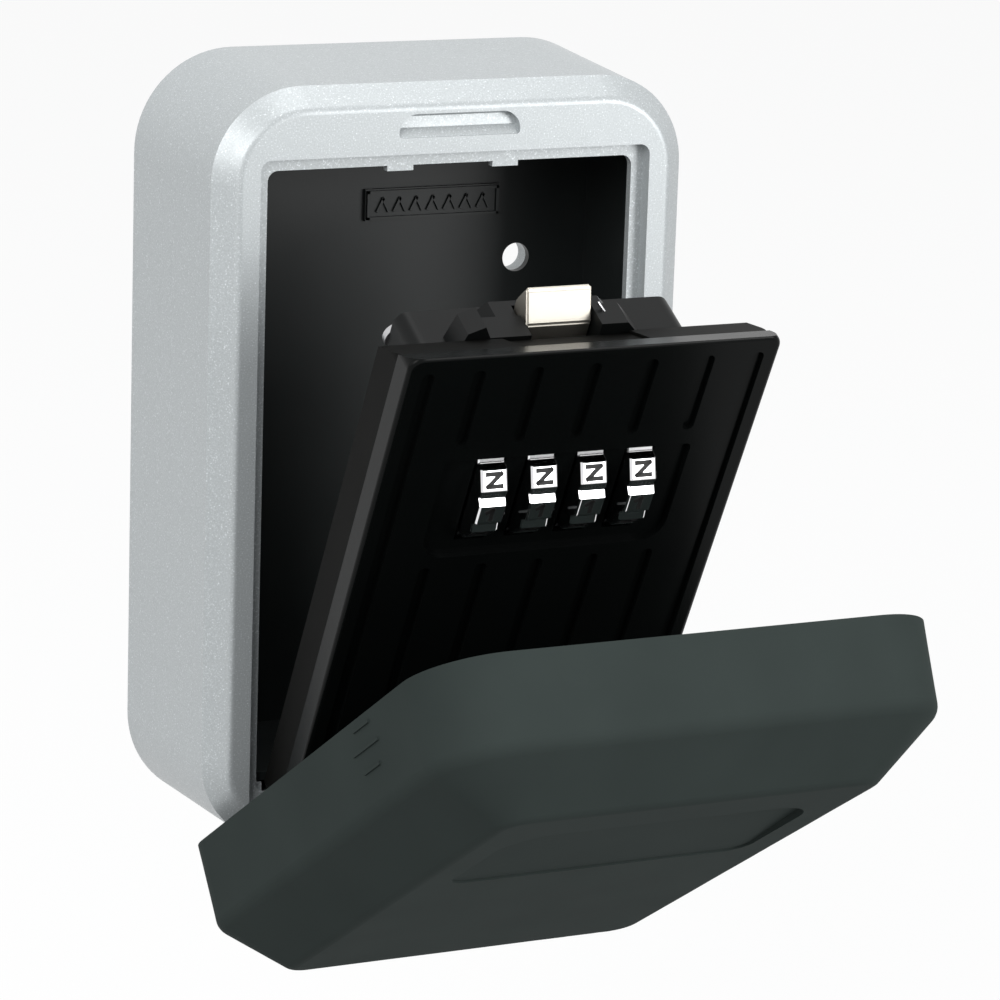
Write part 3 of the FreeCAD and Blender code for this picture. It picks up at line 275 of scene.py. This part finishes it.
# Angular digits as strokes through a unit square, across then up.
DIGITS = (
    ((0, 0), (1, 0), (1, 1), (0, 1), (0, 0)),
    ((0.2, 0.75), (0.55, 1), (0.55, 0)),
    ((0, 1), (1, 1), (0, 0), (1, 0)),
    ((0, 1), (1, 1), (0.4, 0.56), (1, 0.5), (1, 0), (0, 0)),
    ((0.75, 0), (0.75, 1), (0, 0.3), (1, 0.3)),
    ((1, 1), (0, 1), (0, 0.55), (1, 0.55), (1, 0), (0, 0)),
    ((1, 1), (0, 1), (0, 0), (1, 0), (1, 0.52), (0, 0.52)),
    ((0, 1), (1, 1), (0.35, 0)),
    ((0, 0.5), (0, 1), (1, 1), (1, 0), (0, 0), (0, 0.5), (1, 0.5)),
    ((1, 0.48), (0, 0.48), (0, 1), (1, 1), (1, 0), (0, 0)),
)
FACETS = len(DIGITS)

# The dial: its place on the shut door, its outline, the framed pads and the digits on them.
DIAL_DEEP, DIAL_UP, DIAL_PITCH = 5.9, 77.4, 8.6 * MM
DIAL_HALF_WIDTH, DIAL_APOTHEM, DIAL_EDGE, BORE = 2.3 * MM, 9.5 * MM, 0.25 * MM, 1.55 * MM
PAD_HALF, PAD_FOOT, PAD_VALLEY = 1.75 * MM, 2.66 * MM, 8.55 * MM
PAD_FRAME, PAD_SUNK = 0.28 * MM, 0.07 * MM
DIGIT_WIDE, DIGIT_TALL, STROKE = 2.3 * MM, 1.95 * MM, 0.86 * MM
STROKE_SUNK, STROKE_RAISED = 0.05 * MM, 0.04 * MM
DIAL_BODIES = ("dial_a", "dial_b", "dial_c", "dial_d")


def facet_axes(facet):
    """Which way a dial's facet faces, and which way is up on it."""
    angle = facet * math.tau / FACETS
    return Vector((0, -math.cos(angle), math.sin(angle))), Vector((0, math.sin(angle), math.cos(angle)))


def dial_mesh(centre_x):
    """A number dial: ten framed pads with inlaid digits, and a V between each two."""
    build = bmesh.new()
    half, shoulder = DIAL_HALF_WIDTH, DIAL_HALF_WIDTH - DIAL_EDGE
    pad, valley = DIAL_APOTHEM, PAD_VALLEY
    steps = ((-PAD_FOOT, valley), (-PAD_HALF, pad), (PAD_HALF, pad), (PAD_FOOT, valley))

    def ring(x, inset):
        verts = []
        for facet in range(FACETS):
            out, up = facet_axes(facet)
            for across, height in steps:
                verts.append(build.verts.new(out * (height - inset) + up * across + Vector((x, 0, 0))))
        return verts

    def bore(x):
        count = FACETS * len(steps)
        verts = []
        for i in range(count):
            angle = (i / len(steps) - 0.375) * math.tau / FACETS
            verts.append(build.verts.new((x, -BORE * math.cos(angle), BORE * math.sin(angle))))
        return verts

    rings = [bore(-half), ring(-half, DIAL_EDGE), ring(-shoulder, 0)]
    rings += [ring(shoulder, 0), ring(half, DIAL_EDGE), bore(half)]
    count = len(rings[0])
    pads = []
    for k, near in enumerate(rings):
        far = rings[(k + 1) % len(rings)]
        for i in range(count):
            j = (i + 1) % count
            face = build.faces.new((near[i], near[j], far[j], far[i]))
            if k == 2 and i % len(steps) == 1:
                pads.append(face)
    bmesh.ops.recalc_face_normals(build, faces=build.faces)
    bmesh.ops.inset_individual(build, faces=pads, thickness=PAD_FRAME, depth=-PAD_SUNK)
    for facet in range(FACETS):
        out, up = facet_axes(facet)
        strokes = DIGITS[(facet + 1) % FACETS]
        places = [
            out * (DIAL_APOTHEM - PAD_SUNK)
            + Vector(((across - 0.5) * DIGIT_WIDE, 0, 0))
            + up * (height - 0.5) * DIGIT_TALL
            for across, height in strokes
        ]
        for start, end in zip(places, places[1:]):
            bar(build, start, end, STROKE / 2, out, STROKE_SUNK, STROKE_RAISED, 1)
    mesh = mesh_from(build)
    mesh.transform(Matrix.Translation((centre_x, deep(DIAL_DEEP), along(DIAL_UP))))
    return mesh


def dials():
    """The four number dials, each on its own body."""
    for n, body in enumerate(DIAL_BODIES):
        mesh = dial_mesh((n - 1.5) * DIAL_PITCH)
        item = piece(f"number_dial_{n + 1}", mesh, ("chrome", "enamel"), body, DOOR_TURN)
        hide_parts(f"dial_{n + 1}")


# The bolt and its spring arms: half widths, and side outlines as depths and heights on the shut door.
BOLT_HALF, ARM_HALF, BOLT_SOFT = 5.6, 11.5, 0.35 * MM
BOLT_PROFILE = (
    (14.0, 89.9),
    (14.0, 100.6),
    (16.8, 105.3),
    (17.3, 105.7),
    (19.5, 101.7),
    (19.5, 74.0),
    (17.9, 74.0),
    (17.9, 89.9),
)
ARM_PROFILE = ((15.0, 88.5), (15.0, 90.0), (19.4, 90.0), (19.4, 88.5))


def latch():
    """The bolt: a beveled head between the guides, a thin tail behind the dials, an arm over each spring."""
    build = bmesh.new()
    for half, profile in ((BOLT_HALF, BOLT_PROFILE), (ARM_HALF, ARM_PROFILE)):
        first, last = (
            [build.verts.new((x * MM, deep(depth), along(up))) for depth, up in profile]
            for x in (-half, half)
        )
        build.faces.new(first)
        build.faces.new(last)
        for i in range(len(profile)):
            j = (i + 1) % len(profile)
            build.faces.new((first[i], first[j], last[j], last[i]))
    bmesh.ops.recalc_face_normals(build, faces=build.faces)
    edges = build.edges[:]
    bmesh.ops.bevel(build, geom=edges, offset=BOLT_SOFT, segments=3, affect="EDGES", clamp_overlap=True)
    item = piece("beveled_bolt", mesh_from(build), ("nickel",), "bolt", DOOR_TURN)
    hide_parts("latch_bolt")


# The index lines: depth and height on the shut door, how far they run beside the dial, and their section.
INDEX_DEEP, INDEX_UP, INDEX_RUN = 1.0, 73.3, (0.75, 2.6)
INDEX_HALF, INDEX_SUNK, INDEX_RAISED = 0.16 * MM, 0.1 * MM, 0.2 * MM


def index_marks():
    """A short raised line beside each dial that shows where to read it."""
    build = bmesh.new()
    out = Vector((0, -1, 0))
    for n in range(4):
        x = (n - 1.5) * DIAL_PITCH + DIAL_HALF_WIDTH
        start, end = (Vector((x + step * MM, deep(INDEX_DEEP), along(INDEX_UP))) for step in INDEX_RUN)
        bar(build, start, end, INDEX_HALF, out, INDEX_SUNK, INDEX_RAISED)
    piece("index_marks", mesh_from(build), ("index",), "door", DOOR_TURN)


# The label pad: its front, middle and half sizes, the frame and chevrons on it, and their section.
LABEL_FRONT = 5.1 * MM
LABEL_X, LABEL_Z = 8.7 * MM, 38.5 * MM
LABEL_HALF, LABEL_TALL = 12.5 * MM, 2.75 * MM
CHEVRON_PITCH, CHEVRON_HALF, CHEVRON_TALL = 3.1 * MM, 1.0 * MM, 2.0 * MM
LABEL_MARGIN, FRAME_HALF, CHEVRON_LINE = 0.5 * MM, 0.3 * MM, 0.28 * MM
LABEL_SUNK, LABEL_RAISED = 0.2 * MM, 0.4 * MM


def label_marks():
    """A raised frame and plain chevrons on the pad at the back of the box."""
    build = bmesh.new()
    out = Vector((0, -1, 0))
    y = -LABEL_FRONT

    def place(x, z):
        return Vector((LABEL_X + x, y, LABEL_Z + z))

    half, tall = LABEL_HALF - LABEL_MARGIN, LABEL_TALL - LABEL_MARGIN
    corners = [place(-half, -tall), place(half, -tall), place(half, tall), place(-half, tall)]
    for start, end in zip(corners, corners[1:] + corners[:1]):
        bar(build, start, end, FRAME_HALF, out, LABEL_SUNK, LABEL_RAISED)
    for n in range(-3, 4):
        x = n * CHEVRON_PITCH
        foot, tip = CHEVRON_TALL * -0.5, CHEVRON_TALL * 0.5
        for reach in (-CHEVRON_HALF, CHEVRON_HALF):
            bar(build, place(x + reach, foot), place(x, tip), CHEVRON_LINE, out, LABEL_SUNK, LABEL_RAISED)
    piece("label_marks", mesh_from(build), ("liner",), "box", Matrix.Identity(4))


# The shut cover, and the grips on its sides: depth behind the rim and the two ends along it.
COVER_HALF, COVER_RIM, COVER_SIDE, COVER_DRAW_IN, COVER_FOOT = 43.2, 35.3, 14.3, 0.8, -64.5
GRIPS = ((1.6, 86.0, 92.0), (4.9, 84.0, 94.0), (8.3, 86.5, 92.5))
GRIP_HALF, GRIP_SUNK, GRIP_RAISED = 0.3 * MM, 0.3 * MM, 0.32 * MM


def grip_marks():
    """Three short raised lines on each side wall of the cover, to hold it by."""
    build = bmesh.new()
    for side in (-1, 1):
        for depth, low, high in GRIPS:
            half = (COVER_HALF - COVER_DRAW_IN * depth / COVER_SIDE) * MM
            start, end = (
                Vector((side * half, -(COVER_RIM + depth) * MM, (COVER_FOOT + up) * MM)) for up in (low, high)
            )
            bar(build, start, end, GRIP_HALF, Vector((side, 0, 0)), GRIP_SUNK, GRIP_RAISED)
    piece("grip_marks", mesh_from(build), ("cover",), "cover", COVER_TURN)


# The spring's bent end: wire radius, and its line as x, depth and height on the shut door.
LEG_RADIUS = 0.28 * MM
LEG_POINTS = (
    (6.4, 15.2, 103.6),
    (7.2, 14.4, 102.6),
    (8.8, 14.2, 100.9),
    (8.6, 14.2, 99.9),
    (6.6, 14.6, 99.7),
)


def spring_leg():
    """The bent end of a wire spring that shows beside the bolt."""
    curve = bpy.data.curves.new("spring_leg", "CURVE")
    curve.dimensions = "3D"
    curve.bevel_depth = LEG_RADIUS
    curve.bevel_resolution = 3
    line = curve.splines.new("NURBS")
    line.points.add(len(LEG_POINTS) - 1)
    for point, (x, depth, up) in zip(line.points, LEG_POINTS):
        point.co = (x * MM, deep(depth), along(up), 1)
    line.order_u = 3
    line.use_endpoint_u = True
    curve.transform(DOOR_TURN)
    curve.materials.append(MATERIALS["steel"])
    item = bpy.data.objects.new("spring_leg", curve)
    bpy.context.scene.collection.objects.link(item)
    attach(item, "door")


# ---- studio and camera ---------------------------------------------------------------------------


WHITE_RAYS = ("Is Camera Ray", "Is Glossy Ray", "Is Transmission Ray")


def any_of(tree, values):
    """One output that is 1 where any of the values is."""
    either = values[0]
    for value in values[1:]:
        more = tree.nodes.new("ShaderNodeMath")
        more.operation = "MAXIMUM"
        tree.links.new(either, more.inputs[0])
        tree.links.new(value, more.inputs[1])
        either = more.outputs[0]
    return either


def white_surroundings(world, light_colour, strength):
    """A world that is white to the camera, mirrors and glass, and lights the rest with the given colour."""
    tree = world.node_tree
    tree.nodes.clear()
    path = tree.nodes.new("ShaderNodeLightPath")
    either = any_of(tree, [path.outputs[ray] for ray in WHITE_RAYS])
    seen = tree.nodes.new("ShaderNodeBackground")
    seen.inputs["Color"].default_value = (1, 1, 1, 1)
    light = tree.nodes.new("ShaderNodeBackground")
    light.inputs["Color"].default_value = (*light_colour, 1)
    light.inputs["Strength"].default_value = strength
    mix = tree.nodes.new("ShaderNodeMixShader")
    tree.links.new(either, mix.inputs["Fac"])
    tree.links.new(light.outputs[0], mix.inputs[1])
    tree.links.new(seen.outputs[0], mix.inputs[2])
    output = tree.nodes.new("ShaderNodeOutputWorld")
    tree.links.new(mix.outputs[0], output.inputs["Surface"])


FLOOR_HALF, FLOOR_DROP = 6.0, 0.07
FLOOR_GLOW = 0.90  # how much of its white the floor gives by itself; the rest keeps the shadow


def floor():
    """A wide pale floor under the box: near white to see, and darker as a source of light."""
    lowest = cad_size[0][2]
    mesh = bpy.data.meshes.new("floor")
    level = lowest - FLOOR_DROP
    corners = [(x * FLOOR_HALF, y * FLOOR_HALF, level) for x, y in ((-1, -1), (1, -1), (1, 1), (-1, 1))]
    mesh.from_pydata(corners, [], [(0, 1, 2, 3)])
    plane = bpy.data.objects.new("floor", mesh)
    bpy.context.scene.collection.objects.link(plane)
    shader = Shader("pale_floor", (0.93, 0.93, 0.93), 0.6, specular=0.2)
    shader.colour(shader.noise(3, 2.0), [(0.0, 0.30), (1.0, 0.34)])
    tree = shader.material.node_tree
    path = tree.nodes.new("ShaderNodeLightPath")
    either = any_of(tree, [path.outputs[ray] for ray in WHITE_RAYS])
    glow = tree.nodes.new("ShaderNodeEmission")
    glow.inputs["Color"].default_value = (1, 1, 1, 1)
    pale = tree.nodes.new("ShaderNodeBsdfDiffuse")
    pale.inputs["Color"].default_value = (0.96, 0.96, 0.96, 1)
    seen = tree.nodes.new("ShaderNodeMixShader")
    seen.inputs["Fac"].default_value = FLOOR_GLOW
    tree.links.new(pale.outputs[0], seen.inputs[1])
    tree.links.new(glow.outputs[0], seen.inputs[2])
    mix = tree.nodes.new("ShaderNodeMixShader")
    tree.links.new(either, mix.inputs["Fac"])
    tree.links.new(shader.surface.outputs[0], mix.inputs[1])
    tree.links.new(seen.outputs[0], mix.inputs[2])
    tree.links.new(mix.outputs[0], tree.nodes["Material Output"].inputs["Surface"])
    mesh.materials.append(shader.material)


def lamp(name, place, size, power):
    """A soft square lamp that looks at the box."""
    data = bpy.data.lights.new(name, "AREA")
    data.shape = "RECTANGLE"
    data.size = size
    data.size_y = size
    data.energy = power
    item = bpy.data.objects.new(name, data)
    item.location = place
    item.rotation_euler = (Vector(LAMP_TARGET) - Vector(place)).to_track_quat("-Z", "Y").to_euler()
    bpy.context.scene.collection.objects.link(item)


WORLD_LIGHT, WORLD_STRENGTH = (0.95, 0.98, 1.0), 0.42
LAMP_TARGET = (0, -0.04, 0)
# each lamp's place, side and power
LAMPS = (
    ("key_light", (-0.95, -0.85, 0.6), 0.7, 9.0),
    ("top_light", (0.1, -0.1, 1.2), 0.9, 6.0),
    ("right_fill", (0.7, -1.1, 0.2), 0.6, 8.2),
    ("left_fill", (-1.2, -0.1, 0.45), 0.7, 1.6),
)


def studio():
    """Soft lamps from the left front, above and the right front, a weak one at the left, a pale world."""
    world = bpy.data.worlds.new("studio_world")
    bpy.context.scene.world = world
    world.use_nodes = True
    white_surroundings(world, WORLD_LIGHT, WORLD_STRENGTH)
    for name, place, size, power in LAMPS:
        lamp(name, place, size, power)


VIEW_AZIMUTH = 25.51
VIEW_ELEVATION = 14.28
VIEW_ROLL = 2.05
VIEW_LENS = 4.393
VIEW_SHIFT = (-0.0416, -0.0024)
VIEW_OFFSET = (29.98, -13.75, 760.98)


def camera():
    """The camera, from its angles, its lens in frame widths and its offset from the origin in millimetres."""
    turn, lift, roll = (math.radians(a) for a in (VIEW_AZIMUTH, VIEW_ELEVATION, VIEW_ROLL))
    ahead = Vector(
        (math.sin(turn) * math.cos(lift), math.cos(turn) * math.cos(lift), -math.sin(lift))
    )
    level_right = Vector((math.cos(turn), -math.sin(turn), 0))
    level_up = level_right.cross(ahead)
    right = math.cos(roll) * level_right + math.sin(roll) * level_up
    up = -math.sin(roll) * level_right + math.cos(roll) * level_up
    across, above, back = (value * MM for value in VIEW_OFFSET)
    data = bpy.data.cameras.new("camera")
    data.sensor_width = 36
    data.lens = 36 * VIEW_LENS
    data.shift_x, data.shift_y = VIEW_SHIFT
    data.clip_start = 0.05
    item = bpy.data.objects.new("camera", data)
    item.matrix_world = Matrix.Translation(right * across + up * above - ahead * back) @ Matrix(
        (right, up, -ahead)
    ).transposed().to_4x4()
    bpy.context.scene.collection.objects.link(item)
    bpy.context.scene.camera = item
    bpy.context.scene.view_settings.view_transform = "Standard"


dress_nodes()
dials()
latch()
index_marks()
label_marks()
grip_marks()
spring_leg()
floor()
studio()
camera()
